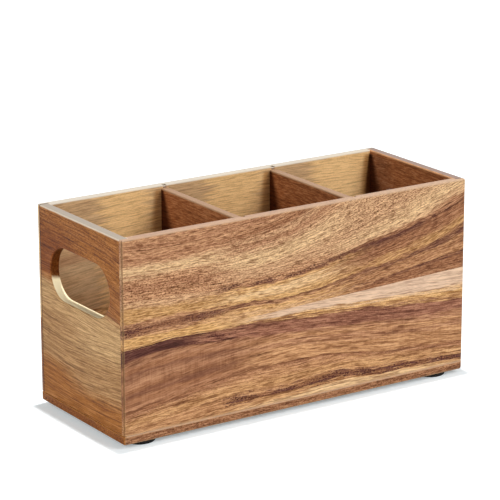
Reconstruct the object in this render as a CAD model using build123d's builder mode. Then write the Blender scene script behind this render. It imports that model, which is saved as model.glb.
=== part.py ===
"""Open cutlery organizer in acacia: a rebated box on four pads, with two dividers and a hand hole at each end.

Millimetres. +X runs along the box, the front faces -Y, +Z is up.
The origin is the middle of the footprint, on the surface that the pads stand on.
"""

import os

from build123d import *

# The box
length = 280.0
width = 110.5
wall_height = 133.5
wall_thickness = 7.0
base_thickness = 6.5

# Corner joints and eased edges
lip_thickness = 3.0
corner_radius = 1.5
rim_radius = 1.0
joint_ease = 0.5
base_edge_radius = 1.5

# Glue lines of the two long panels, each glued up from a lower and an upper board
front_lower_board_width = 65.5
front_glue_line_rise = 8.4
back_lower_board_width = 53.5

# Dividers, held by a tongue at each end in a groove that is open at the rim, a little right of equal spacing
divider_names = ("left_divider", "right_divider")
divider_thickness = 5.8
divider_shift = 2.4
divider_drop = 2.0
divider_edge_radius = 1.0
tongue_thickness = 2.6
tongue_length = 2.5
tongue_drop = 1.0
tongue_side_clearance = 0.1
tongue_end_clearance = 0.2

# Hand hole in each end
hand_hole_length = 77.0
hand_hole_height = 36.7
hand_hole_drop = 23.7
hand_hole_edge_radius = 1.2

# Pads under the base
foot_diameter = 22.0
foot_height = 3.0
foot_end_inset = 19.0
foot_side_inset = 13.0
foot_edge_radius = 0.8
foot_taper = 4.0

# Levels and spans that the pieces share
floor_level = foot_height + base_thickness
rim_level = floor_level + wall_height
inner_length = length - 2 * wall_thickness
inner_width = width - 2 * wall_thickness
groove_width = tongue_thickness + 2 * tongue_side_clearance
groove_depth = tongue_length + tongue_end_clearance
divider_count = len(divider_names)
compartment_length = (inner_length - divider_count * divider_thickness) / (divider_count + 1)
divider_pitch = compartment_length + divider_thickness

# The four walls as they stand once joined, with the rim and the hand holes routed in one go
with BuildPart() as wall_ring:
    with BuildSketch(Plane.XY.offset(floor_level)):
        RectangleRounded(length, width, corner_radius)
        Rectangle(inner_length, inner_width, mode=Mode.SUBTRACT)
    extrude(amount=wall_height)
    rim_edges = wall_ring.faces().sort_by(Axis.Z)[-1].edges()
    fillet(rim_edges, rim_radius)
    lower_edges = wall_ring.faces().sort_by(Axis.Z)[0].outer_wire().edges()
    chamfer(lower_edges, joint_ease)
    hand_hole_level = rim_level - hand_hole_drop - hand_hole_height / 2
    with BuildSketch(Plane.YZ):
        with Locations((0, hand_hole_level)):
            SlotOverall(hand_hole_length, hand_hole_height)
    extrude(amount=length, both=True, mode=Mode.SUBTRACT)
    end_faces = wall_ring.faces().filter_by(Axis.X)
    hole_edges = [edge for face in end_faces for wire in face.inner_wires() for edge in wire.edges()]
    fillet(hole_edges, hand_hole_edge_radius)

# An end panel is let in between the lips of the two long panels
with BuildPart() as left_end_panel:
    add(wall_ring.part)
    with BuildSketch(Plane.XY.offset(floor_level)):
        with Locations((-(length - wall_thickness) / 2, 0)):
            Rectangle(wall_thickness, width - 2 * lip_thickness)
    extrude(amount=wall_height, mode=Mode.INTERSECT)

with BuildPart() as right_end_panel:
    mirror(left_end_panel.part, about=Plane.YZ)

# A long panel runs the full length, with a rebate at each end and a groove for each divider
with BuildPart() as front_panel:
    add(wall_ring.part)
    with BuildSketch(Plane.XY.offset(floor_level)):
        with Locations((0, -(width - lip_thickness) / 2)):
            Rectangle(length, lip_thickness)
        with Locations((0, -(width - wall_thickness) / 2)):
            Rectangle(inner_length, wall_thickness)
    extrude(amount=wall_height, mode=Mode.INTERSECT)
    with BuildSketch(Plane.XY.offset(floor_level)):
        with Locations((divider_shift, -(inner_width + groove_depth) / 2)):
            with GridLocations(divider_pitch, 0, divider_count, 1):
                Rectangle(groove_width, groove_depth)
    extrude(amount=wall_height, mode=Mode.SUBTRACT)

front_glue_plane = Plane(
    origin=(0, 0, floor_level + front_lower_board_width),
    x_dir=(length, 0, front_glue_line_rise),
    z_dir=(-front_glue_line_rise, 0, length),
)
back_glue_plane = Plane.XY.offset(floor_level + back_lower_board_width)

with BuildPart() as front_upper_board:
    add(front_panel.part)
    split(bisect_by=front_glue_plane, keep=Keep.TOP)

with BuildPart() as front_lower_board:
    add(front_panel.part)
    split(bisect_by=front_glue_plane, keep=Keep.BOTTOM)

with BuildPart() as back_upper_board:
    mirror(front_panel.part, about=Plane.XZ)
    split(bisect_by=back_glue_plane, keep=Keep.TOP)

with BuildPart() as back_lower_board:
    mirror(front_panel.part, about=Plane.XZ)
    split(bisect_by=back_glue_plane, keep=Keep.BOTTOM)

# The base covers the whole footprint under the walls
with BuildPart() as base_board:
    with BuildSketch(Plane.XY.offset(foot_height)):
        RectangleRounded(length, width, corner_radius)
    extrude(amount=base_thickness)
    chamfer(base_board.faces().sort_by(Axis.Z)[-1].edges(), joint_ease)
    fillet(base_board.faces().sort_by(Axis.Z)[0].edges(), base_edge_radius)

pieces = {
    "front_upper_board": front_upper_board,
    "front_lower_board": front_lower_board,
    "back_upper_board": back_upper_board,
    "back_lower_board": back_lower_board,
    "left_end_panel": left_end_panel,
    "right_end_panel": right_end_panel,
    "base_board": base_board,
}

# Dividers stand on the base, a little below the rim
for index, name in enumerate(divider_names):
    divider_x = divider_shift + (index - (divider_count - 1) / 2) * divider_pitch
    with BuildPart() as divider:
        with BuildSketch(Plane.XY.offset(floor_level)):
            with Locations((divider_x, 0)):
                Rectangle(divider_thickness, inner_width)
        extrude(amount=wall_height - divider_drop)
        top_edges = divider.faces().sort_by(Axis.Z)[-1].edges()
        fillet(top_edges.filter_by(Axis.Y), divider_edge_radius)
        with BuildSketch(Plane.XY.offset(floor_level)):
            with Locations((divider_x, 0)):
                with GridLocations(0, inner_width + tongue_length, 1, 2):
                    Rectangle(tongue_thickness, tongue_length)
        extrude(amount=wall_height - tongue_drop)
    pieces[name] = divider

# Four round pads stuck under the corners
for side, side_sign in (("front", -1), ("back", 1)):
    for end, end_sign in (("left", -1), ("right", 1)):
        foot_x = end_sign * (length / 2 - foot_end_inset)
        foot_y = side_sign * (width / 2 - foot_side_inset)
        with BuildPart() as foot:
            with BuildSketch(Plane((foot_x, foot_y, foot_height))):
                Circle(foot_diameter / 2)
            extrude(amount=-foot_height, taper=foot_taper)
            fillet(foot.faces().sort_by(Axis.Z)[0].edges(), foot_edge_radius)
        pieces[f"foot_{side}_{end}"] = foot

os.makedirs("parts", exist_ok=True)
for name, piece in pieces.items():
    piece.part.label = name
    export_step(piece.part, f"parts/{name}.step")
    print(name, round(piece.part.volume), "mm3")
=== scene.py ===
# %% [markdown]
# An open cutlery organizer in oiled acacia: a rebated box with two dividers, a hand hole in each end and
# four pads. The boards come from the packed model and already have the right shape, so this lesson spends
# its effort on finish: every board gets its own drawn figure, and only the moulded pads are made again with
# finer forms.

# %% Load the packed model
import math

import bpy
import numpy as np
from mathutils import Matrix, Vector


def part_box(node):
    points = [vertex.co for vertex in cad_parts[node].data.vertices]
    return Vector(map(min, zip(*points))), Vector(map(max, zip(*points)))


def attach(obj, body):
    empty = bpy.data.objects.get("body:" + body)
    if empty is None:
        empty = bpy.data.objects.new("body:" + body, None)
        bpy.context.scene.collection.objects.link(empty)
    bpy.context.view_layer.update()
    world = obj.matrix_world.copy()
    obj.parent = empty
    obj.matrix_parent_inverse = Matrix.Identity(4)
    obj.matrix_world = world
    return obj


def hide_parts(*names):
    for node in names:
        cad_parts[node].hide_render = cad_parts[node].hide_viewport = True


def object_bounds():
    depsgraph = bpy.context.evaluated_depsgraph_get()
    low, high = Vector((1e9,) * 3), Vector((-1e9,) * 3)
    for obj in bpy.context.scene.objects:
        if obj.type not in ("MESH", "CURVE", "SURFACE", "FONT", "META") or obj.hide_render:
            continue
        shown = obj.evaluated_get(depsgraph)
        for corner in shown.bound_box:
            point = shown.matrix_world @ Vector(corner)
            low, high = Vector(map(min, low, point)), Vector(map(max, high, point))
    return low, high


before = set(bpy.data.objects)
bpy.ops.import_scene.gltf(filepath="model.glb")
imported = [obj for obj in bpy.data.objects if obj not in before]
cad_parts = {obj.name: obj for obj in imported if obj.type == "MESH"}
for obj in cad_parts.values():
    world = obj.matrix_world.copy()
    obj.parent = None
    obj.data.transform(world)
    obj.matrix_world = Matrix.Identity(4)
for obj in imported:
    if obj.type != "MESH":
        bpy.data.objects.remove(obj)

cad_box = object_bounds()
box_length, box_width, box_height = (high - low for low, high in zip(*cad_box))
pad_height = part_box("foot_front_left")[1].z
print(f"box {box_length:.3f} x {box_width:.4f} x {box_height:.3f} m, pads {pad_height:.4f} m high")

# %% [markdown]
# The camera stands where the photograph was taken from: in front of the left corner, a little above the rim
# and far away, so a long lens keeps the edges nearly parallel. Its matrix is written as three directions
# and a place, because that is exactly what a measured viewpoint gives.

# %% Camera
view_azimuth = math.radians(-33.641)
view_elevation = math.radians(16.319)
view_roll = math.radians(-0.117)
view_distance = 1.7840
view_slide = -0.00359
view_lift = 0.02659
focal_length = 185.25
film_width = 36.0
aim = Vector((0, 0, (pad_height + box_height) / 2))

backward = Vector((
    math.sin(view_azimuth) * math.cos(view_elevation),
    -math.cos(view_azimuth) * math.cos(view_elevation),
    math.sin(view_elevation),
))
level_right = Vector((0, 0, 1)).cross(backward).normalized()
level_up = backward.cross(level_right)
rightward = math.cos(view_roll) * level_right + math.sin(view_roll) * level_up
upward = math.cos(view_roll) * level_up - math.sin(view_roll) * level_right
stand = aim + view_distance * backward + view_slide * rightward + view_lift * upward

lens = bpy.data.cameras.new("photo_lens")
lens.lens = focal_length
lens.sensor_width = film_width
lens.sensor_fit = "HORIZONTAL"
camera = bpy.data.objects.new("camera", lens)
camera.matrix_world = Matrix((rightward, upward, backward)).transposed().to_4x4()
camera.location = stand
bpy.context.scene.collection.objects.link(camera)
bpy.context.scene.camera = camera
print("camera stands at", tuple(round(value, 3) for value in stand))

# %% [markdown]
# A finish is a tree of nodes. Wiring it by hand in the editor would take hundreds of clicks, so this small
# bench adds one node per call and hands back its output. A recipe then reads like a sum, line by line.

# %% A bench for finishes


class Finish:
    """A node tree being wired. Each method adds a node and returns the socket that carries its result."""

    def __init__(self, tree):
        self.tree = tree
        tree.nodes.clear()

    def node(self, kind, inputs, **settings):
        """Adds a node, wires the inputs that are sockets and sets the ones that are plain values."""
        made = self.tree.nodes.new("ShaderNode" + kind)
        for key, value in settings.items():
            setattr(made, key, value)
        for key, value in inputs.items():
            if isinstance(value, bpy.types.NodeSocket):
                self.tree.links.new(value, made.inputs[key])
            else:
                made.inputs[key].default_value = value
        return made

    def sum(self, operation, first, second=0.0, third=0.0):
        """A step of arithmetic on one, two or three numbers."""
        return self.node("Math", {0: first, 1: second, 2: third}, operation=operation).outputs[0]

    def fade(self, value, start, end):
        """Goes softly from 0 to 1 as value goes from start to end."""
        inputs = {"Value": value, "From Min": start, "From Max": end}
        return self.node("MapRange", inputs, interpolation_type="SMOOTHSTEP").outputs[0]

    def swing(self, start, noise, reach):
        """A start value that noise moves up or down by at most half of reach."""
        return self.sum("MULTIPLY_ADD", noise, reach, self.sum("SUBTRACT", start, reach / 2))

    def noise(self, place, sizes, detail=2.0, roughness=0.5):
        """Cloudy noise from 0 to 1, whose lumps have the given sizes along the three directions."""
        scales = tuple(1 / size for size in sizes)
        stretched = self.node("VectorMath", {0: place, 1: scales}, operation="MULTIPLY").outputs[0]
        inputs = {"Vector": stretched, "Scale": 1.0, "Detail": detail, "Roughness": roughness}
        return self.node("TexNoise", inputs).outputs[0]

    def vector(self, first, second, third):
        """Three numbers as one place."""
        return self.node("CombineXYZ", {0: first, 1: second, 2: third}).outputs[0]

    def mix(self, share, first, second, blend="MIX"):
        """Two colours laid over each other."""
        made = self.node("Mix", {0: share}, data_type="RGBA", blend_type=blend)
        for socket, value in ((made.inputs[6], first), (made.inputs[7], second)):
            if isinstance(value, bpy.types.NodeSocket):
                self.tree.links.new(value, socket)
            else:
                socket.default_value = (*value, 1.0)
        return made.outputs[2]

    def drawn_line(self, share, knots, reach):
        """A smooth line through knots (along, height); reach says what along and height count as 1."""
        made = self.node("FloatCurve", {"Value": share})
        points = made.mapping.curves[0].points
        places = [(along / reach[0], height / reach[1]) for along, height in knots]
        points[0].location = places[0]
        points[1].location = places[-1]
        for place in places[1:-1]:
            points.new(*place)
        made.mapping.update()
        return made.outputs[0]

    def ramp(self, place, stops):
        """Colours in a row. Each stop has a place from 0 to 1, a colour, and a fleck share as its alpha."""
        made = self.node("ValToRGB", {"Fac": place})
        row = made.color_ramp
        row.interpolation = "LINEAR"
        for index, (position, colour, flecks) in enumerate(stops):
            stop = row.elements[index] if index < 2 else row.elements.new(position)
            stop.position = position
            stop.color = (*colour, flecks)
        return made.outputs


def new_material(name):
    """An empty material and the bench for its nodes."""
    material = bpy.data.materials.new(name)
    material.use_nodes = True
    return material, Finish(material.node_tree)


bench_steps = [name for name in vars(Finish) if not name.startswith("_")]
print("steps on the bench:", ", ".join(bench_steps))

# %% [markdown]
# Acacia is a wood of many tones: pale sapwood, honey and tan heartwood, and streaks from cinnamon to nearly
# black plum. They are named once here, as a screen shows them, and turned into the light values that
# Blender counts in. The last two rows are for the cut wall of the hand hole, where routing left the wood
# paler, and for rims. The paler or greyer rim tone is partly sanded wood and partly a painted sheen.

# %% Tones of the wood


def light(red, green, blue):
    """Screen colour from 0 to 255 turned into linear light, by the usual screen curve."""
    share = np.array((red, green, blue)) / 255
    linear = np.where(share <= 0.04045, share / 12.92, ((share + 0.055) / 1.055) ** 2.4)
    return tuple(float(value) for value in linear)


tones = {
    "shell": light(212, 178, 150), "straw": light(216, 178, 132), "cream": light(228, 196, 152),
    "oat": light(212, 179, 136), "gold": light(255, 212, 148), "honey": light(206, 158, 98),
    "ochre": light(187, 140, 86), "tan": light(196, 152, 112), "clay": light(185, 135, 96),
    "sap": light(192, 151, 100), "khaki": light(170, 125, 76), "copper": light(196, 123, 68),
    "cinnamon": light(168, 117, 83), "nutmeg": light(158, 108, 73), "caramel": light(190, 141, 92),
    "toffee": light(180, 129, 86), "amber": light(161, 97, 30), "brick": light(157, 94, 36),
    "sienna": light(168, 104, 61), "russet": light(148, 97, 64), "mauve": light(146, 94, 71),
    "rust": light(131, 66, 8), "umber": light(122, 76, 53), "plum": light(88, 47, 38),
    "bone": light(255, 238, 196), "chalk": light(180, 173, 161), "ash": light(206, 196, 178),
    "peach": light(165, 138, 117), "dove": light(131, 113, 104), "taupe": light(147, 117, 91),
}
print(len(tones), "tones")

# %% [markdown]
# The figure of a board is drawn, not left to chance. Guide lines follow its growth lines across the face,
# and each gap between two of them counts as one level, so every point has a level that follows the drawn
# sweep. Tones and fine grain are then laid out by level, and both bend with the figure.

# %% Guide lines and levels
guide_reach = 240.0


def level_at(wood, height, lines):
    """How many guide lines lie below a height, with the share of the gap that it has already crossed."""
    level = 0.0
    for index, (low, high) in enumerate(zip(lines, lines[1:])):
        gap = wood.sum("SUBTRACT", high, low)
        crossed = wood.sum("DIVIDE", wood.sum("SUBTRACT", height, low), gap)
        if index > 0:
            crossed = wood.sum("MAXIMUM", crossed, 0.0)
        if index < len(lines) - 2:
            crossed = wood.sum("MINIMUM", crossed, 1.0)
        level = wood.sum("ADD", level, crossed)
    return level


def drawn_guides(wood, share, guides, reach):
    """The guide lines as heights in millimetres above the foot of the boards."""
    lines = []
    for knots in guides:
        drawn = wood.drawn_line(share, knots, (reach, guide_reach))
        lines.append(wood.sum("MULTIPLY", drawn, guide_reach))
    return lines


print("guide lines are drawn up to", guide_reach, "mm high")

# %% [markdown]
# Edges of an oiled board turn paler, partly from handling and partly as a painted highlight where the
# rounded edge catches the light, and open joints collect dark oil. Both depend on how near a point is to
# the flat faces of its board, so the faces are read off the packed model as planes.

# %% Faces, edges and seams
millimetres = 1000.0
far_off = 1000.0


def faces_of(node_name, sides):
    """Flat faces of a node as (axis, place), for sides written like "-X +Z"."""
    low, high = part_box(node_name)
    planes = []
    for sign, axis in sides.split():
        corner = high if sign == "+" else low
        planes.append((axis, corner["XYZ".index(axis)]))
    return planes


def distances(wood, place, planes):
    """Distance in millimetres to each plane."""
    parts = wood.node("SeparateXYZ", {0: place}).outputs
    found = []
    for axis, position in planes:
        offset = wood.sum("SUBTRACT", parts["XYZ".index(axis)], position)
        found.append(wood.sum("MULTIPLY", wood.sum("ABSOLUTE", offset), millimetres))
    return found


def smallest(wood, values):
    """The smallest of some distances."""
    least = values[0]
    for value in values[1:]:
        least = wood.sum("MINIMUM", least, value)
    return least


def second_smallest(wood, values):
    """The second smallest of some distances to faces: how far the nearest edge of two faces is."""
    least = values[0]
    second = far_off
    for value in values[1:]:
        second = wood.sum("MINIMUM", second, wood.sum("MAXIMUM", least, value))
        least = wood.sum("MINIMUM", least, value)
    return second


print("faces of the base board", faces_of("base_board", "-X +X -Z +Z"))

# %% [markdown]
# Fine grain is noise drawn out along the growth lines. Streaks, frays and threads count in levels, as old
# growth rings do, so they spread where the figure fans out. Fibres, dashes and pores keep their thickness,
# so they count in millimetres above the nearest guide line, and each band between two guides is shifted
# along so that no speck stands under its own copy. Flecks are cut across and lie anywhere.

# %% Fine grain
level_depth = 10.0
band_shift = 37.0
grain_forms = {
    "streak": ("rings", (55, 2.0, 2.0), 5.0, 0.65),
    "fray": ("rings", (8, 1.0, 1.0), 2.0),
    "thread": ("rings", (80, 0.8, 0.8), 2.0, 0.6),
    "fibre": ("bands", (20, 1.1, 1.1), 3.0, 0.65),
    "dash": ("bands", (6.0, 0.9, 0.9), 2.0, 0.6),
    "pore": ("bands", (6.0, 0.6, 0.6), 1.0),
    "fleck": ("plain", (1.6, 0.8, 0.8), 1.0),
}


def height_above_guide(wood, height, lines):
    """Millimetres above the nearest guide line that lies below a height."""
    nearest = 2 * far_off
    for line in lines:
        above = wood.sum("SUBTRACT", height, line)
        missed = wood.sum("LESS_THAN", above, 0.0)
        nearest = wood.sum("MINIMUM", nearest, wood.sum("MULTIPLY_ADD", missed, far_off, above))
    return nearest


def grain_of(wood, along, rise, level, depth, plain):
    """Noise of many lengths, in millimetres, from the place that each form names."""
    rings = wood.vector(along, wood.sum("MULTIPLY", level, level_depth), depth)
    shifted = wood.sum("MULTIPLY_ADD", wood.sum("FLOOR", level), band_shift, along)
    places = {"rings": rings, "bands": wood.vector(shifted, rise, depth), "plain": plain}
    return {name: wood.noise(places[kind], *form) for name, (kind, *form) in grain_forms.items()}


print(len(grain_forms), "kinds of grain")

# %% [markdown]
# The tones come on in rows, and each row takes over along a stretch of the board. The grain then turns them
# paler or browner, and flecks, threads and pores are stained into them. Quiet tones with few flecks are
# kept calmer.

# %% Rows of tones, and grain over them
streak_edge = 0.1
crisp_span = (0.40, 0.60)
lift_reaches = {"fibre": 2.0, "crisp": 0.6, "streak": 0.5}
calm_share = 0.4
lively_flecks = 0.12
bright_gain = 0.6
cream_gain = 1.6
brown_gain = 1.7
brown_stain = (0.42, 0.31, 0.25)
stains = {
    "fleck": ((0.52, 0.60), 0.95, (0.40, 0.29, 0.24)),
    "thread": ((0.56, 0.64), 0.65, (0.46, 0.36, 0.30)),
    "pore": ((0.58, 0.68), 0.6, (0.45, 0.36, 0.30)),
}


def tone_rows(wood, rows, toned, top, share, broken):
    """Colour and fleck share by level. The first row holds everywhere, a later one where its turn is 1.

    A row that starts above the lowest level is a streak. It shows only between its end stops, broken up.
    """
    colour = None
    flecks = None
    for turn, stops in rows:
        ramp = wood.ramp(toned, [(spot / top, tones[tone], fleck) for spot, tone, fleck in stops])
        if colour is None:
            colour, flecks = ramp
            continue
        turned = wood.drawn_line(share, turn, (1.0, 1.0))
        low, high = stops[0][0], stops[-1][0]
        if low > 0:
            inside = wood.sum("MULTIPLY", wood.fade(toned, low / top, (low + streak_edge) / top), broken)
            inside = wood.sum("MULTIPLY", wood.fade(toned, high / top, (high - streak_edge) / top), inside)
            turned = wood.sum("MULTIPLY", turned, inside)
        colour = wood.mix(turned, colour, ramp[0])
        flecks = wood.node("Mix", {0: turned, 2: flecks, 3: ramp[1]}).outputs[0]
    return colour, flecks


def shaded_grain(wood, colour, flecks, grain, ripple, strength):
    """Turns a colour paler or browner by its grain, then lays dark flecks, threads and pores over it."""
    shades = {**grain, "crisp": wood.fade(grain["dash"], *crisp_span)}
    lift = ripple
    for name, reach in lift_reaches.items():
        lift = wood.swing(lift, shades[name], reach)
    flecked = wood.fade(flecks, 0.0, lively_flecks)
    lively = wood.sum("MULTIPLY_ADD", flecked, (1 - calm_share) * strength, calm_share * strength)
    lift = wood.sum("MULTIPLY", lift, lively)
    bright = wood.sum("MULTIPLY_ADD", wood.sum("MAXIMUM", lift, 0.0), bright_gain, 1.0)
    paleness = wood.node("RGBToBW", {0: colour}).outputs[0]
    colour = wood.node("VectorMath", {0: colour, "Scale": bright}, operation="SCALE").outputs[0]
    creamy = wood.sum("MULTIPLY", wood.sum("MULTIPLY", lift, cream_gain), paleness)
    colour = wood.mix(creamy, colour, tones["cream"])
    colour = wood.mix(wood.sum("MULTIPLY", lift, -brown_gain), colour, brown_stain, "MULTIPLY")

    masks = {}
    for name, (span, share, stain) in stains.items():
        amount = wood.sum("MULTIPLY", flecks if name == "fleck" else lively, share)
        masks[name] = wood.sum("MULTIPLY", wood.fade(grain[name], *span), amount)
        colour = wood.mix(masks[name], colour, stain, "MULTIPLY")
    return colour, masks["pore"]


print("dark stains for", ", ".join(stains))

# %% [markdown]
# Ends, joints, corners and cut edges take oil and light in their own ways. Open joints and end grain soak
# up dark oil, and a routed hole shows raw, paler wood. Inner corners and the upper wall of the hole get
# painted shade. Rims are painted paler, partly sanded wood and partly a painted sheen. The tops of the
# dividers' tongues get the same pale paint, which covers the shade in the groove. Each habit below lays one
# such change over the finished grain.

# %% Habits of edges and corners
joint_span = (1.8, 0.8)
joint_wander = 0.6
joint_share = 0.85
joint_oil = (0.30, 0.22, 0.16)
end_span = (1.2, 0.4)
end_oil = (0.76, 0.52, 0.22)
edge_span = (1.3, 0.5)
edge_share = 0.7
edge_oil = (0.28, 0.20, 0.15)
cut_span = (0.2, 0.8)
cut_blur = 0.2
cut_dimness = 0.7
cut_shade = (0.34, 0.34, 0.36)
corner_span = (1.0, 0.35)
corner_start = (1.5, 4.0)
rim_span = (1.1, 0.5)
rim_wander = 0.8


def dark_joint(wood, colour, place, grain, planes):
    """A dark line where a board meets its neighbour."""
    seam = wood.swing(smallest(wood, distances(wood, place, planes)), grain["dash"], joint_wander)
    dark = wood.sum("MULTIPLY", wood.fade(seam, *joint_span), joint_share)
    return wood.mix(dark, colour, joint_oil, "MULTIPLY")


def soaked_end(wood, colour, place, planes, share):
    """End grain, which drinks more oil than a face."""
    soaked = wood.fade(smallest(wood, distances(wood, place, planes)), *end_span)
    return wood.mix(wood.sum("MULTIPLY", soaked, share), colour, end_oil, "MULTIPLY")


def paint_corner_shade(wood, colour, place, inside, planes, width, shade):
    """Painted shade in an inner corner, wider with depth below the rim; shade is what it leaves of the
    colour.
    """
    gap = smallest(wood, distances(wood, place, planes))
    below = distances(wood, place, [("Z", box_height)])[0]
    reach = wood.sum("MULTIPLY_ADD", below, width[1], width[0])
    dim = wood.fade(wood.sum("DIVIDE", gap, reach), *corner_span)
    dim = wood.sum("MULTIPLY", wood.sum("MULTIPLY", dim, inside), wood.fade(below, *corner_start))
    return wood.mix(dim, colour, shade, "MULTIPLY")


def raw_cut_with_painted_shade(wood, colour, place, level, planes, cut):
    """The wall of a routed hole, away from both faces of the board: raw, paler wood below a level, painted
    shade above it.
    """
    tone, share, ceiling = cut
    inside = wood.fade(smallest(wood, distances(wood, place, planes)), *cut_span)
    raw = wood.sum("MULTIPLY", inside, wood.fade(level, ceiling + cut_blur, ceiling - cut_blur))
    # Painted shade on the wall of the hole above the level.
    dim = wood.sum("SUBTRACT", inside, raw)
    colour = wood.mix(wood.sum("MULTIPLY", dim, cut_dimness), colour, cut_shade, "MULTIPLY")
    return wood.mix(wood.sum("MULTIPLY", raw, share), colour, tones[tone])


def sanded_rim_and_sheen(wood, colour, place, grain, top, rim):
    """A rim, paler partly by sanding after glueing and partly by a painted sheen. It fades in by the
    distance at each limit (plane, start, end).
    """
    tone, share, limits = rim
    height = wood.node("SeparateXYZ", {0: place}).outputs[2]
    below = wood.sum("MULTIPLY", wood.sum("SUBTRACT", top, height), millimetres)
    sanded_and_sheen = wood.fade(wood.swing(below, grain["dash"], rim_wander), *rim_span)
    for plane, start, end in limits:
        gap = distances(wood, place, [plane])[0]
        sanded_and_sheen = wood.sum("MULTIPLY", sanded_and_sheen, wood.fade(gap, start, end))
    return wood.mix(wood.sum("MULTIPLY", sanded_and_sheen, share), colour, tones[tone])


def dark_edge(wood, colour, place, planes):
    """A dark line along the edge where two faces meet."""
    gaps = distances(wood, place, planes)
    seam = wood.fade(wood.sum("MAXIMUM", *gaps), *edge_span)
    return wood.mix(wood.sum("MULTIPLY", seam, edge_share), colour, edge_oil, "MULTIPLY")


def with_habits(wood, colour, place, grain, level, inside, axes, planes, habit):
    """The colour of a board with all of its own habits laid over it."""
    top = max(position for axis, position in planes if axis == "Z")
    ends = [plane for plane in planes if plane[0] == axes[0]]
    sides = [plane for plane in planes if plane[0] == axes[2]]
    # Rims: paler wood, partly sanded and partly a painted sheen.
    for rim in habit.get("rims", []):
        colour = sanded_rim_and_sheen(wood, colour, place, grain, top, rim)
    if "cut" in habit:
        colour = raw_cut_with_painted_shade(wood, colour, place, level, sides, habit["cut"])
    if "end_shade" in habit:
        colour = soaked_end(wood, colour, place, ends, habit["end_shade"])
    for corner in habit.get("corners", []):
        colour = paint_corner_shade(wood, colour, place, inside, *corner)
    if "edge" in habit:
        colour = dark_edge(wood, colour, place, habit["edge"])
    if "joint" in habit:
        colour = dark_joint(wood, colour, place, grain, habit["joint"])
    return colour


print("a dark joint fades out over", joint_span[0] - joint_span[1], "mm")

# %% [markdown]
# One recipe makes every board. It finds the level of a point, picks the tone there and roughens it with
# grain. It pales the edges, partly for handled wear and partly as a painted highlight, adds the habits of
# that board and ends in a satin oil sheen. What differs from board to board comes in as guide lines, rows
# of tones and a few habits.

# %% The acacia finish
front_corner = (-box_length / 2, -box_width / 2, pad_height)
board_reach = {"X": millimetres * box_length, "Y": millimetres * box_width}
grain_lean = 0.25
slow_wobble = (60, 16, 16)
slow_reach = 4.0
quick_wobble = (7, 1.6, 1.6)
quick_reach = 1.2
streak_wander = 13.0
fray_wander = 6.0
row_wander = 60.0
inner_span = (4.0, 3.0)
crumb_span = (1.34, 1.54)
ripple_sizes = (1.2, 9, 9)
worn_highlight_span = (1.7, 0.5)
worn_highlight_wander = 1.4
worn_highlight_share = 0.30
oil_roughness = 0.40
fibre_roughness = 0.16
worn_polish = 0.06
oil_shine = 0.12
pore_depth = 0.0002


def ripple_of(wood, plain, level, share, reach, ripple):
    """Upright waves of the plane iron, strong as drawn along the board and within a band of levels."""
    swell, knots, band = ripple
    wave = wood.swing(0.0, wood.noise(plain, ripple_sizes, 2.0), 2 * swell)
    shown = wood.drawn_line(share, knots, (reach, 1.0))
    for edge in band:
        shown = wood.sum("MULTIPLY", shown, wood.fade(level, edge, sum(band) / 2))
    return wood.sum("MULTIPLY", wave, shown)


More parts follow.
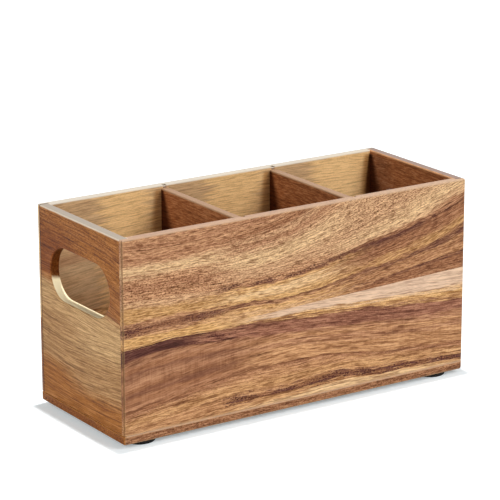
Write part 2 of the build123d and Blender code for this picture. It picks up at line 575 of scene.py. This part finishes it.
def acacia(name, axes, guides, rows, planes, **habit):
    """Acacia for one board. axes name the directions along, across and through it."""
    material, wood = new_material(name)
    place = wood.node("TexCoord", {}).outputs["Object"]
    shift = tuple(-millimetres * value for value in front_corner)
    inputs = {"Vector": place, "Location": shift, "Scale": (millimetres,) * 3}
    parts = wood.node("SeparateXYZ", {0: wood.node("Mapping", inputs).outputs[0]}).outputs
    along, across, through = (parts["XYZ".index(axis)] for axis in axes)
    reach = board_reach[axes[0]]
    share = wood.sum("DIVIDE", along, reach)
    lines = drawn_guides(wood, share, guides, reach)

    strength = habit.get("strength", 1.0)
    drawn_out = wood.sum("DIVIDE", along, habit.get("length", 1.0))
    depth = wood.sum("ADD", through, habit.get("plank", 0.0))
    plain = wood.vector(along, across, depth)
    height = wood.sum("MULTIPLY_ADD", through, grain_lean, across)
    height = wood.swing(height, wood.noise(plain, slow_wobble), slow_reach)
    height = wood.swing(height, wood.noise(plain, quick_wobble), quick_reach * strength)
    level = level_at(wood, height, lines)
    grain = grain_of(wood, drawn_out, height_above_guide(wood, height, lines), level, depth, plain)

    count = len(guides) - 1
    frayed = wood.swing(height, grain["streak"], streak_wander)
    frayed = wood.swing(frayed, grain["fray"], fray_wander)
    toned = wood.sum("DIVIDE", level_at(wood, frayed, lines), count)
    inside = 1.0
    if "inside" in habit:
        inside = wood.fade(distances(wood, place, [habit["inside"]])[0], *inner_span)
    wandering = wood.sum("MULTIPLY", wood.swing(share, grain["streak"], row_wander / reach), inside)
    crumbs = wood.sum("ADD", wood.sum("ADD", grain["fibre"], grain["dash"]), grain["fleck"])
    broken = wood.fade(crumbs, *crumb_span)
    scaled_rows = []
    for turn, stops in rows:
        scaled_rows.append((turn and [(spot / reach, value) for spot, value in turn], stops))
    colour, flecks = tone_rows(wood, scaled_rows, toned, count, wandering, broken)

    ripple = 0.0
    if "ripple" in habit:
        ripple = ripple_of(wood, plain, level, share, reach, habit["ripple"])
    colour, pores = shaded_grain(wood, colour, flecks, grain, ripple, strength)
    edge = second_smallest(wood, distances(wood, place, planes))
    # Paler edges: partly handled wear, partly a painted highlight where the rounding catches the light.
    worn_highlight = wood.fade(wood.swing(edge, grain["fibre"], worn_highlight_wander), *worn_highlight_span)
    colour = wood.mix(wood.sum("MULTIPLY", worn_highlight, worn_highlight_share), colour, tones["straw"])
    colour = with_habits(wood, colour, place, grain, level, inside, axes, planes, habit)

    rough = wood.sum("MULTIPLY_ADD", grain["fibre"], fibre_roughness, oil_roughness)
    rough = wood.sum("MULTIPLY_ADD", worn_highlight, -worn_polish, rough)
    dent = wood.sum("SUBTRACT", wood.sum("MULTIPLY", grain["fibre"], 0.5), pores)
    bump = wood.node("Bump", {"Strength": 0.35, "Distance": pore_depth, "Height": dent}).outputs[0]
    inputs = {"Base Color": colour, "Roughness": rough, "Specular IOR Level": oil_shine, "Normal": bump}
    shader = wood.node("BsdfPrincipled", inputs).outputs[0]
    wood.node("OutputMaterial", {"Surface": shader})
    print(name, "has", len(wood.tree.nodes), "nodes")
    return material


print("boards reach", {axis: round(reach, 1) for axis, reach in board_reach.items()}, "mm")

# %% [markdown]
# The upper board of the front carries the main sweep: level golden grain on the left that fans upwards to
# the right, with a dark broken streak along its edge and speckled tan above it. Three rows of tones follow
# each other along the board: the left end, the middle and the right end. Three short rows lie over them,
# two for broken dark streaks and one that lets the dark line fade out at the far right.

# %% Upper front board
glue_line = [(0, 67.8), (280, 76.2)]
upper_guides = [
    glue_line,
    [
        (0, 71.5), (60, 72.6), (100, 73), (137, 73.8), (165, 75.2), (183, 77.5), (211, 80.3), (239, 84),
        (280, 89.5),
    ],
    [
        (0, 80.5), (100, 81), (126, 80.5), (160, 82.5), (185, 86), (211, 89.8), (239, 95), (257, 99),
        (280, 108),
    ],
    [
        (0, 97), (40, 96.5), (75, 93.5), (102, 93.5), (137, 97), (169, 101), (202, 107.4), (234, 115),
        (280, 130.5),
    ],
    [
        (0, 105.5), (50, 105), (90, 103.5), (120, 106), (165, 114), (190, 120), (210, 126), (240, 137),
        (280, 153),
    ],
    [
        (0, 114), (50, 113.5), (90, 112.5), (120, 115.5), (140, 119), (165, 127), (190, 137), (210, 147),
        (280, 176),
    ],
    [
        (0, 120), (60, 119.5), (100, 120.5), (125, 124.5), (145, 130), (165, 140), (180, 149), (210, 166),
        (280, 196),
    ],
    [(0, 126), (60, 125.5), (100, 128), (125, 133), (145, 140), (165, 152), (180, 163), (280, 215)],
    [(0, 133.5), (60, 133.5), (100, 137), (125, 143), (145, 151), (180, 175), (280, 226)],
    [(0, 141), (60, 141), (100, 146), (125, 153), (145, 162), (180, 186), (280, 236)],
]
upper_left = [
    (0.0, "honey", 0.1), (1.0, "honey", 0.1), (1.3, "clay", 0.3), (1.5, "cinnamon", 0.6),
    (1.75, "russet", 0.6), (1.95, "cinnamon", 0.6), (2.1, "clay", 0.3), (2.25, "ochre", 0.2),
    (2.6, "ochre", 0.3), (2.9, "tan", 0.5), (3.2, "clay", 0.9), (3.6, "clay", 1.0), (4.1, "cinnamon", 1.0),
    (4.6, "clay", 0.9), (5.0, "tan", 0.5), (5.3, "straw", 0.3), (5.8, "straw", 0.3), (6.2, "tan", 0.4),
    (6.6, "clay", 0.4), (7.0, "cinnamon", 0.4), (7.5, "clay", 0.3), (8.0, "cinnamon", 0.4),
    (8.5, "clay", 0.4), (9.0, "cinnamon", 0.4),
]
left_streak = [
    (1.3, "umber", 0.3), (1.45, "plum", 0.3), (1.7, "plum", 0.3), (1.9, "plum", 0.3), (2.1, "umber", 0.3),
]
left_streak_places = [
    (0, 1), (16, 1), (22, 0.4), (44, 0.4), (52, 1), (78, 1), (84, 0.3), (92, 0.9), (120, 0.9), (130, 0),
    (280, 0),
]
upper_middle = [
    (0.0, "tan", 0.1), (0.6, "honey", 0.1), (1.0, "tan", 0.2), (1.4, "honey", 0.2), (1.7, "clay", 0.3),
    (1.85, "umber", 0.4), (1.98, "umber", 0.3), (2.06, "honey", 0.2), (2.5, "straw", 0.1),
    (2.75, "honey", 0.2), (2.88, "clay", 0.5), (2.95, "cinnamon", 0.6), (3.05, "clay", 0.7),
    (3.2, "clay", 0.8), (3.5, "tan", 0.6), (4.0, "tan", 0.5), (4.4, "straw", 0.4), (5.0, "straw", 0.5),
    (5.5, "tan", 0.7), (6.0, "cinnamon", 0.7), (6.4, "tan", 0.7), (7.0, "russet", 0.7), (7.5, "clay", 0.6),
    (8.0, "cinnamon", 0.6), (9.0, "clay", 0.6),
]
middle_streak = [
    (2.8, "umber", 0.4), (2.9, "umber", 0.5), (2.97, "plum", 0.5), (3.03, "plum", 0.5),
    (3.15, "umber", 0.5),
]
middle_streak_places = [
    (0, 0), (66, 0), (70, 1), (84, 1), (88, 0), (97, 0), (100, 1), (122, 1), (125, 0), (132, 0), (136, 1),
    (280, 1),
]
upper_right = [
    (0.0, "nutmeg", 0.3), (0.4, "russet", 0.5), (0.8, "russet", 0.3), (0.95, "plum", 0.2),
    (1.02, "nutmeg", 0.2), (1.15, "toffee", 0.2), (1.4, "nutmeg", 0.2), (1.6, "toffee", 0.2),
    (1.74, "umber", 0.2), (1.8, "plum", 0.2), (1.86, "nutmeg", 0.2), (1.94, "plum", 0.2),
    (2.0, "nutmeg", 0.2), (2.15, "ochre", 0.2), (2.3, "nutmeg", 0.4), (2.5, "russet", 0.4),
    (2.64, "russet", 0.4), (2.78, "umber", 0.5), (2.88, "plum", 0.5), (2.95, "umber", 0.5),
    (3.02, "nutmeg", 0.4), (3.1, "tan", 0.3), (3.4, "straw", 0.5), (4.0, "tan", 0.9), (4.6, "tan", 1.0),
    (5.3, "tan", 1.0), (5.8, "toffee", 1.0), (6.3, "tan", 1.0), (6.8, "nutmeg", 1.0), (7.4, "tan", 1.0),
    (8.2, "toffee", 1.0), (9.0, "tan", 1.0),
]
fading_streak = [
    (2.5, "cinnamon", 0.4), (2.7, "russet", 0.5), (2.85, "russet", 0.5), (2.95, "cinnamon", 0.5),
    (3.1, "clay", 0.4),
]
upper_rows = [
    (None, upper_left),
    (left_streak_places, left_streak),
    ([(0, 0), (55, 0), (100, 1), (280, 1)], upper_middle),
    (middle_streak_places, middle_streak),
    ([(0, 0), (140, 0), (205, 1), (280, 1)], upper_right),
    ([(0, 0), (228, 0), (262, 1), (280, 1)], fading_streak),
]
upper_faces = faces_of("front_upper_board", "-X +X -Y +Y +Z")
left_edge = faces_of("front_upper_board", "-X -Y")
golden_board = acacia(
    "golden_board", "XZY", upper_guides, upper_rows, upper_faces,
    rims=[("peach", 0.7, [])], edge=left_edge, end_shade=0.05,
)

# %% [markdown]
# The lower board came from another plank: a dark plum band leaves its top left corner and thins into mauve,
# a pale wedge of sapwood opens below the glue line, and an arch of growth lines stands over a broken dark
# streak. Planing left a faint upright ripple in it, mostly near the left end.

# %% Lower front board
lower_guides = [
    [(0, 0), (75, 2), (110, 5), (155, 6), (200, 5.5), (280, 3.5)],
    [
        (0, 8), (50, 12.5), (79, 14), (107, 13.6), (130, 14), (153, 15), (181, 16.3), (200, 13.6),
        (227, 13), (280, 10.5),
    ],
    [
        (0, 19), (26, 22.7), (55, 27), (80, 30.6), (115, 33), (155, 32.4), (183, 29.6), (220, 25.5),
        (280, 19.5),
    ],
    [
        (0, 56), (20, 59.5), (42, 60.7), (70, 58.8), (144, 54.9), (174, 52.2), (211, 49.6), (239, 46.8),
        (280, 45.6),
    ],
    [
        (0, 65.5), (20, 66.6), (38, 68.2), (48, 67.9), (95, 66.6), (144, 64.4), (174, 61.6), (211, 59.5),
        (280, 54),
    ],
    [(0, 69), (280, 76.5)],
]
lower_left = [
    (0.0, "caramel", 0.2), (0.9, "toffee", 0.3), (1.1, "toffee", 0.4), (1.4, "caramel", 0.3),
    (1.75, "toffee", 0.4), (1.95, "cinnamon", 0.5), (2.03, "russet", 0.3), (2.1, "cinnamon", 0.05),
    (2.25, "russet", 0.04), (2.36, "umber", 0.04), (2.44, "russet", 0.04), (2.55, "cinnamon", 0.04),
    (2.7, "umber", 0.04), (2.82, "russet", 0.04), (2.9, "cinnamon", 0.04), (2.97, "umber", 0.1),
    (3.06, "plum", 0.15), (3.5, "plum", 0.2), (3.95, "plum", 0.2), (4.1, "cinnamon", 0.1),
    (4.3, "honey", 0.1), (5.0, "honey", 0.1),
]
mauve_band = [
    (2.9, "nutmeg", 0.2), (3.1, "mauve", 0.3), (3.75, "mauve", 0.4), (3.9, "umber", 0.3),
    (4.1, "umber", 0.2),
]
lower_right = [
    (0.0, "straw", 0.1), (0.15, "straw", 0.1), (0.4, "straw", 0.1), (0.62, "caramel", 0.1),
    (0.82, "toffee", 0.4), (0.92, "russet", 0.7), (1.0, "umber", 0.8), (1.1, "russet", 0.7),
    (1.22, "toffee", 0.4), (1.4, "caramel", 0.3), (1.75, "toffee", 0.3), (1.95, "cinnamon", 0.5),
    (2.03, "russet", 0.5), (2.1, "toffee", 0.2), (2.45, "toffee", 0.1), (2.62, "cinnamon", 0.2),
    (2.75, "toffee", 0.1), (2.95, "cinnamon", 0.2), (3.05, "mauve", 0.3), (3.8, "mauve", 0.5),
    (3.92, "umber", 0.3), (4.0, "caramel", 0.4), (4.2, "honey", 0.5), (4.5, "shell", 0.03),
    (5.0, "shell", 0.03),
]
low_streak = [
    (0.73, "umber", 0.5), (0.84, "plum", 0.6), (1.0, "plum", 0.6), (1.12, "plum", 0.5),
    (1.28, "umber", 0.4),
]
low_streak_places = [
    (0, 0), (78, 0), (82, 1), (100, 1), (104, 0), (118, 0), (122, 1), (140, 1), (144, 0.3), (150, 0.3),
    (154, 1), (180, 1), (184, 0), (187, 1), (200, 1), (205, 0), (209, 1), (233, 1), (238, 0.3), (246, 0.3),
    (252, 1), (280, 1),
]
lower_rows = [
    (None, lower_left),
    ([(0, 0), (36, 0), (72, 1), (280, 1)], mauve_band),
    ([(0, 0), (68, 0), (130, 1), (280, 1)], lower_right),
    (low_streak_places, low_streak),
]
lower_faces = faces_of("front_lower_board", "-X +X -Y +Y -Z")
ripple_places = [(0, 0.6), (20, 1), (75, 1), (110, 0.2), (190, 0.2), (215, 0.35), (280, 0.35)]
brown_board = acacia(
    "brown_board", "XZY", lower_guides, lower_rows, lower_faces, plank=40.0, length=1.6,
    ripple=(0.7, ripple_places, (1.9, 3.2)), edge=left_edge, end_shade=0.35,
)

# %% [markdown]
# The back panel shows its inner face: quiet cream wood with fine level lines, and a golden flecked patch
# behind each compartment. The corners beside the dividers and the right end panel get little light, so they
# are dimmed, and more widely the deeper they lie.

# %% Upper back board
back_guides = [
    [(0, 45), (100, 49), (200, 47), (280, 51)],
    [(0, 60), (60, 68), (140, 70), (220, 68), (280, 72)],
    [(0, 78), (60, 88), (140, 92), (220, 90), (280, 94)],
    [(0, 90), (60, 99), (140, 103), (220, 101), (280, 105)],
    [(0, 102), (60, 110), (140, 114), (220, 112), (280, 116)],
    [(0, 112), (60, 118), (140, 122), (220, 120), (280, 124)],
    [(0, 122), (60, 127), (140, 130), (220, 128), (280, 131)],
    [(0, 132), (60, 135), (140, 138), (220, 136), (280, 138)],
    [(0, 142), (140, 147), (280, 145)],
]
quiet_tones = [
    (0.0, "oat", 0.1), (1.0, "tan", 0.1), (2.0, "oat", 0.1), (3.0, "straw", 0.1), (3.6, "oat", 0.1),
    (4.4, "straw", 0.1), (5.2, "oat", 0.1), (6.0, "tan", 0.1), (6.8, "straw", 0.1), (8.0, "straw", 0.1),
]
patch_tones = [
    (0.0, "gold", 0.15), (2.0, "gold", 0.2), (3.0, "gold", 0.15), (4.0, "gold", 0.2), (5.2, "gold", 0.2),
    (6.0, "gold", 0.2), (7.0, "gold", 0.15), (8.0, "gold", 0.15),
]
patch_places = [
    (0, 0), (40, 0), (54, 1), (78, 1), (90, 0.2), (125, 0), (138, 1), (170, 1), (182, 0.2), (212, 0),
    (228, 1), (280, 1),
]
back_rows = [(None, quiet_tones), (patch_places, patch_tones)]
back_faces = faces_of("back_upper_board", "-X +X -Y +Y +Z")
shade_offset = 0.001
shading_nodes = ("left_divider", "right_divider", "right_end_panel")
shaded_sides = [("X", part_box(name)[0].x - shade_offset) for name in shading_nodes]
right_side = [("X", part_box("right_end_panel")[0].x)]
# Painted shade on the back panel beside the dividers, and a darker painted shade in its corner at the right
# end panel.
back_corner_shade_paint = [
    (shaded_sides, (6.0, 0.13), (0.62, 0.50, 0.38)),
    (right_side, (0.5, 0.2), (0.20, 0.12, 0.08)),
]
pale_board = acacia(
    "pale_board", "XZY", back_guides, back_rows, back_faces, plank=90.0, strength=0.5, length=2.0,
    rims=[("chalk", 0.9, [])], corners=back_corner_shade_paint, inside=back_faces[2],
)

# %% [markdown]
# The lower board of the back is dark plum wood, but pale on its inner face. That face is painted paler
# still, as painted light, so that the shadow of the front wall across it stays light. From the front it
# shows only as a strip at the left end, through the hand hole and deep down in the compartments, so a few
# broad bands are enough.

# %% Lower back board
plum_guides = [
    [(0, 0), (140, 3), (280, 1)],
    [(0, 20), (70, 24), (180, 16), (280, 22)],
    [(0, 38), (90, 34), (200, 40), (280, 36)],
    [(0, 54), (280, 54)],
]
plum_tones = [
    (0.0, "russet", 0.3), (0.7, "umber", 0.3), (1.4, "russet", 0.4), (2.0, "cinnamon", 0.3),
    (2.5, "umber", 0.3), (3.0, "russet", 0.2),
]
# Inner face tones, made paler as painted light against the front wall's shadow.
inner_tones_painted_light = [(0.0, "straw", 0.2), (1.0, "gold", 0.2), (2.0, "straw", 0.2), (3.0, "gold", 0.2)]
plum_rows = [(None, plum_tones), ([(0, 0), (14, 0), (24, 1), (280, 1)], inner_tones_painted_light)]
plum_faces = faces_of("back_lower_board", "-X +X -Y +Y -Z")
plum_board = acacia(
    "plum_board", "XZY", plum_guides, plum_rows, plum_faces, plank=140.0, inside=plum_faces[2],
)

# %% [markdown]
# Each end panel runs its grain from front to back. The left one has red heartwood above a sloping dark
# line, and pale sapwood that deepens to orange-brown towards the base. Dark oil has settled in the open
# joint at its back.

# %% Left end panel
end_guides = [
    [(0, 0), (110, 0)],
    [(0, 15), (55, 12), (110, 14)],
    [(0, 30), (55, 26), (110, 28)],
    [(0, 42), (55, 38), (110, 40)],
    [(0, 54), (55, 50), (110, 52)],
    [(0, 67), (20, 66), (80, 68), (110, 68)],
    [(0, 79), (20, 80.5), (80, 86), (110, 86)],
    [(0, 83), (20, 86.5), (80, 95), (110, 96)],
    [(0, 98), (50, 104), (110, 108)],
    [(0, 112), (50, 118), (110, 120)],
    [(0, 126), (50, 131), (110, 133)],
    [(0, 141), (110, 145)],
]
end_front = [
    (0.0, "amber", 0.2), (1.4, "amber", 0.3), (2.2, "khaki", 0.2), (3.6, "khaki", 0.2), (4.4, "sap", 0.2),
    (5.6, "sap", 0.2), (6.1, "sap", 0.1), (6.4, "khaki", 0.2), (6.8, "brick", 0.2), (6.95, "umber", 0.1),
    (7.05, "brick", 0.3), (8.0, "brick", 0.5), (9.0, "amber", 0.6), (10.0, "brick", 0.6),
    (11.0, "amber", 0.6),
]
end_back = [
    (0.0, "amber", 0.2), (2.0, "amber", 0.2), (3.0, "khaki", 0.2), (4.8, "khaki", 0.2), (5.8, "sap", 0.1),
    (6.3, "khaki", 0.2), (6.7, "brick", 0.2), (6.95, "rust", 0.2), (7.6, "rust", 0.3), (9.0, "rust", 0.5),
    (10.0, "brick", 0.6), (11.0, "brick", 0.6),
]
end_rows = [(None, end_front), ([(0, 0), (40, 0), (85, 1), (110, 1)], end_back)]
end_faces = faces_of("left_end_panel", "-X +X +Z")
red_end = acacia(
    "red_end", "YZX", end_guides, end_rows, end_faces, plank=10.0, strength=0.8, length=3.0,
    joint=faces_of("left_end_panel", "+Y"), rims=[("ash", 0.8, [])], cut=("bone", 1.0, 6.6),
)

# %% [markdown]
# The right end panel and the two dividers are cut from one darker plank with slanting grain. Shifting the
# plank for each of them shows another slice of it, so the same drawing never repeats. Where they meet the
# back panel they get a dark painted shade. The right end panel also gets a wide, fainter painted shade over
# its inner face.

# %% Right end panel and dividers
slant_heights = (0, 12, 24, 38, 52, 68, 84, 98, 112, 125, 138)
slant_guides = [[(0, height), (50, height + 3), (110, height + 1)] for height in slant_heights]
slant_front = [
    (0.0, "sienna", 0.2), (1.6, "copper", 0.3), (2.8, "sienna", 0.3), (4.0, "rust", 0.2),
    (5.0, "copper", 0.3), (6.0, "sienna", 0.3), (6.8, "rust", 0.3), (7.6, "copper", 0.3),
    (8.4, "sienna", 0.3), (9.2, "copper", 0.3), (10.0, "sienna", 0.3),
]
slant_back = [
    (0.0, "copper", 0.2), (2.0, "sienna", 0.3), (3.2, "rust", 0.3), (4.4, "copper", 0.2),
    (5.6, "sienna", 0.3), (6.8, "copper", 0.3), (8.0, "sienna", 0.3), (9.0, "rust", 0.3),
    (10.0, "sienna", 0.3),
]
slant_rows = [(None, slant_front), ([(0, 0), (40, 0), (80, 1), (110, 1)], slant_back)]
planks = {
    "right_end_panel": (-60.0, "dove"),
    "left_divider": (17.0, "taupe"),
    "right_divider": (-33.0, "taupe"),
}
tongue_step = 0.001
back_side = [("Y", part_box("back_upper_board")[0].y)]
# Painted shade: a dark wedge where each piece meets the back panel, and a wide, fainter one over the right
# end panel's inner face.
deep_corner_shade_paint = (back_side, (2.5, 0.6), (0.16, 0.09, 0.05))
broad_corner_shade_paint = (back_side, (30.0, 0.5), (0.74, 0.82, 1.0))
slant_finishes = {}
for node_name, (plank, rim_tone) in planks.items():
    habit = {"plank": plank, "corners": [deep_corner_shade_paint], "strength": 0.8}
    node_faces = faces_of(node_name, "-X +X +Z")
    if node_name == "right_end_panel":
        habit["joint"] = faces_of(node_name, "-Y +Y")
        # Its rim is painted paler, partly sanded and partly a painted sheen. The paint stops short of the
        # inner edge.
        habit["rims"] = [(rim_tone, 0.9, [(node_faces[0], 0.4, 1.4)])]
        habit["inside"] = node_faces[0]
        habit["corners"].append(broad_corner_shade_paint)
    else:
        axis, top = node_faces.pop()
        node_faces.append((axis, top - tongue_step))
        tongue_limit = (("Y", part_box(node_name)[1].y), 2.6, 2.2)
        # The pale rim tone also covers the tongue tops at the back: painted light over the shade in the
        # groove.
        habit["rims"] = [(rim_tone, 0.9, []), ("chalk", 0.9, [tongue_limit])]
    finish_name = "slant_" + node_name
    slant_finishes[node_name] = acacia(finish_name, "YZX", slant_guides, slant_rows, node_faces, **habit)

# %% [markdown]
# The base board lies flat, so its grain runs along the box and its drawing is laid out from front to back.
# Only its edge shows from outside, a thin brown line under the walls, with a painted highlight along its
# top edge at the front.

# %% Base board
base_guides = [
    [(0, 0), (280, 0)],
    [(0, 22), (90, 30), (190, 20), (280, 27)],
    [(0, 52), (80, 60), (180, 50), (280, 58)],
    [(0, 84), (90, 90), (200, 80), (280, 86)],
    [(0, 111), (280, 111)],
]
base_left = [
    (0.0, "nutmeg", 0.8), (0.5, "cinnamon", 0.7), (1.0, "clay", 0.7), (1.6, "cinnamon", 0.6),
    (2.2, "cinnamon", 0.5), (3.0, "cinnamon", 0.5), (3.6, "cinnamon", 0.6), (4.0, "clay", 0.7),
]
base_right = [
    (0.0, "nutmeg", 0.8), (0.7, "clay", 0.7), (1.4, "cinnamon", 0.7), (2.0, "clay", 0.5),
    (2.8, "russet", 0.6), (4.0, "cinnamon", 0.7),
]
base_rows = [(None, base_left), ([(0, 0), (80, 0.6), (160, 0.2), (280, 1)], base_right)]
base_faces = faces_of("base_board", "-X +X -Y +Y -Z +Z")
# A painted highlight along the top edge of the base at the front, kept off its left end.
base_edge_highlight = ("shell", 0.5, [(base_faces[0], 1.4, 2.4), (base_faces[2], 2.5, 1.5)])
base_wood = acacia(
    "base_wood", "XYZ", base_guides, base_rows, base_faces, plank=70.0, rims=[base_edge_highlight], end_shade=1.0,
)

# %% [markdown]
# Each packed board has one slot for its finish. Swapping the plain colour there for the drawn wood leaves
# its shape, its place and its name alone.

# %% Put the finishes on the boards
finishes = {
    "front_upper_board": golden_board, "front_lower_board": brown_board, "back_upper_board": pale_board,
    "back_lower_board": plum_board, "left_end_panel": red_end, "base_board": base_wood, **slant_finishes,
}
for node_name, material in finishes.items():
    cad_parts[node_name].material_slots[0].material = material
print(len(finishes), "boards finished")

# %% [markdown]
# The pads are moulded rubber bumpers. A turned profile is all they need, but the packed ones are plain, so
# each is made again with a soft shoulder, a shallow dish underneath and raised rings that grip the table.

# %% Moulded pads
ring_count = 96
lid_steps = 4
side_steps = 6
bend_steps = 9
dish_steps = 44
side_start = 0.08
shoulder = 0.0009
axle = 0.0002
grip_rings = 3
ring_depth = 0.0006
pad_taper = 0.0002


def turned_surface(name, profile, centre):
    """Profile points (radius, height) turned about a vertical axis: x = r cos a, y = r sin a, z = h."""
    angles = np.linspace(0, 2 * np.pi, ring_count, endpoint=False)
    radius, height = profile[:, :1], profile[:, 1:]
    x = centre.x + radius * np.cos(angles)
    y = centre.y + radius * np.sin(angles)
    z = np.broadcast_to(height, x.shape)
    points = np.stack((x, y, z), axis=-1).reshape(-1, 3)
    row, column = np.meshgrid(np.arange(len(profile) - 1), np.arange(ring_count), indexing="ij")
    following = (column + 1) % ring_count
    corners = (row, column), (row + 1, column), (row + 1, following), (row, following)
    faces = np.stack([r * ring_count + c for r, c in corners], axis=-1).reshape(-1, 4)
    last = (len(profile) - 1) * ring_count
    lid = list(range(ring_count))
    underside = list(range(last, last + ring_count))[::-1]
    mesh = bpy.data.meshes.new(name)
    mesh.from_pydata(points.tolist(), [], faces.tolist() + [lid, underside])
    mesh.shade_smooth()
    piece = bpy.data.objects.new(name, mesh)
    bpy.context.scene.collection.objects.link(piece)
    return piece


def pad_profile(radius_top, radius_foot, height):
    """From the centre of the top out, down the leaning side, round the shoulder, in over raised rings."""
    lid = np.column_stack((np.linspace(axle, radius_top, lid_steps), np.full(lid_steps, height)))
    side_share = np.linspace(side_start, 1, side_steps)
    side_height = height + (shoulder - height) * side_share
    side_radius = radius_top + (radius_foot - radius_top) * (height - side_height) / height
    side = np.column_stack((side_radius, side_height))
    turn = np.linspace(0, np.pi / 2, bend_steps)[1:]
    bend_radius = side_radius[-1] - shoulder + shoulder * np.cos(turn)
    bend = np.column_stack((bend_radius, shoulder - shoulder * np.sin(turn)))
    inward = np.linspace(bend_radius[-1], axle, dish_steps)[1:]
    ring_wave = 0.5 - 0.5 * np.cos(2 * np.pi * grip_rings * inward / bend_radius[-1])
    dish = ring_depth * np.clip((bend_radius[-1] - inward) / (2 * ring_depth), 0, 1) * ring_wave
    return np.concatenate((lid, side, bend, np.column_stack((inward, dish))))


print("pads are turned in", ring_count, "steps")

# %% [markdown]
# Black rubber is never one flat black. A faint mottle and a skin of tiny pimples keep it matt, and each new
# pad takes the place of the packed one under its corner.

# %% Rubber, and the pads in place
mottle_sizes = (0.004, 0.004, 0.004)
pimple_sizes = (0.0004, 0.0004, 0.0004)
rubber, blend = new_material("pad_rubber_black")
place = blend.node("TexCoord", {}).outputs["Object"]
mottle = blend.noise(place, mottle_sizes, 3.0)
pimple = blend.noise(place, pimple_sizes, 1.0)
soot = blend.ramp(mottle, [(0.3, light(14, 13, 13), 1.0), (0.7, light(28, 26, 25), 1.0)])[0]
rough = blend.sum("MULTIPLY_ADD", mottle, 0.2, 0.5)
skin = blend.node("Bump", {"Strength": 0.4, "Distance": 0.0001, "Height": pimple}).outputs[0]
inputs = {"Base Color": soot, "Roughness": rough, "Specular IOR Level": 0.25, "Normal": skin}
blend.node("OutputMaterial", {"Surface": blend.node("BsdfPrincipled", inputs).outputs[0]})

for corner in ("front_left", "front_right", "back_left", "back_right"):
    low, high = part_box("foot_" + corner)
    radius_top = (high.x - low.x) / 2
    profile = pad_profile(radius_top, radius_top - pad_taper, high.z)
    pad = turned_surface("pad_" + corner, profile, (low + high) / 2)
    pad.data.materials.append(rubber)
    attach(pad, "root")
    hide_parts("foot_" + corner)
print("four pads with", len(profile), "rings each")

# %% [markdown]
# The box stands on a sheet of white paper in an evenly lit studio. The paper glows a little to the camera
# alone, so that it stays white in the picture and still takes the soft shadow along the foot of the box.

# %% Paper floor
floor_half = 2.0
paper_colour = (0.76, 0.80, 0.82, 1.0)
glow_colour = (0.90, 0.98, 1.0, 1.0)
glow_share = 0.33
floor_signs = ((-1, -1), (1, -1), (1, 1), (-1, 1))
floor_corners = [(x * floor_half, y * floor_half, 0) for x, y in floor_signs]
floor_mesh = bpy.data.meshes.new("pale_floor")
floor_mesh.from_pydata(floor_corners, [], [(0, 1, 2, 3)])
floor = bpy.data.objects.new("pale_floor", floor_mesh)
bpy.context.scene.collection.objects.link(floor)


def seen_directly(tree):
    """1 for what the camera sees straight, and 0 for light that falls on things or shines in them."""
    return tree.node("LightPath", {}).outputs["Is Camera Ray"]


paper_material, paper = new_material("pale_paper")
matt = paper.node("BsdfDiffuse", {"Color": paper_colour}).outputs[0]
glow_strength = paper.sum("MULTIPLY", seen_directly(paper), glow_share)
glow = paper.node("Emission", {"Color": glow_colour, "Strength": glow_strength}).outputs[0]
paper.node("OutputMaterial", {"Surface": paper.node("AddShader", {0: matt, 1: glow}).outputs[0]})
floor_mesh.materials.append(paper_material)
print("floor", floor_half * 2, "m wide")

# %% [markdown]
# Four lamps and a white room light it. The key stands to the front right, a small one hangs high
# overhead and throws narrow shadows into the compartments, one fills the left end, and one behind keeps the
# far rim bright. The room shows white to the camera but gives less light than that, so the lamps still
# model the box.

# %% Lamps and room


def soft_lamp(name, stand_at, size, watts):
    """A square lamp that faces the middle of the box."""
    panel = bpy.data.lights.new(name, "AREA")
    panel.shape = "SQUARE"
    panel.size = size
    panel.energy = watts
    lamp = bpy.data.objects.new(name, panel)
    lamp.location = stand_at
    lamp.rotation_euler = (Vector(stand_at) - aim).to_track_quat("Z", "Y").to_euler()
    lamp.visible_camera = False
    bpy.context.scene.collection.objects.link(lamp)


soft_lamp("key_lamp", (0.6, -1.3, 1.15), 1.0, 18.1)
soft_lamp("top_lamp", (0.03, 0.06, 3.0), 0.10, 84.0)
soft_lamp("left_lamp", (-1.3, -0.5, 0.7), 1.0, 9.0)
soft_lamp("back_lamp", (0.9, 1.35, 0.62), 0.9, 3.0)

room_light = 0.17
world = bpy.data.worlds.new("white_room")
bpy.context.scene.world = world
world.use_nodes = True
room = Finish(world.node_tree)
strength = room.sum("MULTIPLY_ADD", seen_directly(room), 1 - room_light, room_light)
shade = room.node("Background", {"Color": (1.0, 1.0, 1.0, 1.0), "Strength": strength}).outputs[0]
room.node("OutputWorld", {"Surface": shade})
bpy.context.scene.view_settings.view_transform = "Standard"
print("four lamps and a white room")

# %% [markdown]
# The new pads keep to the outline of the packed ones.
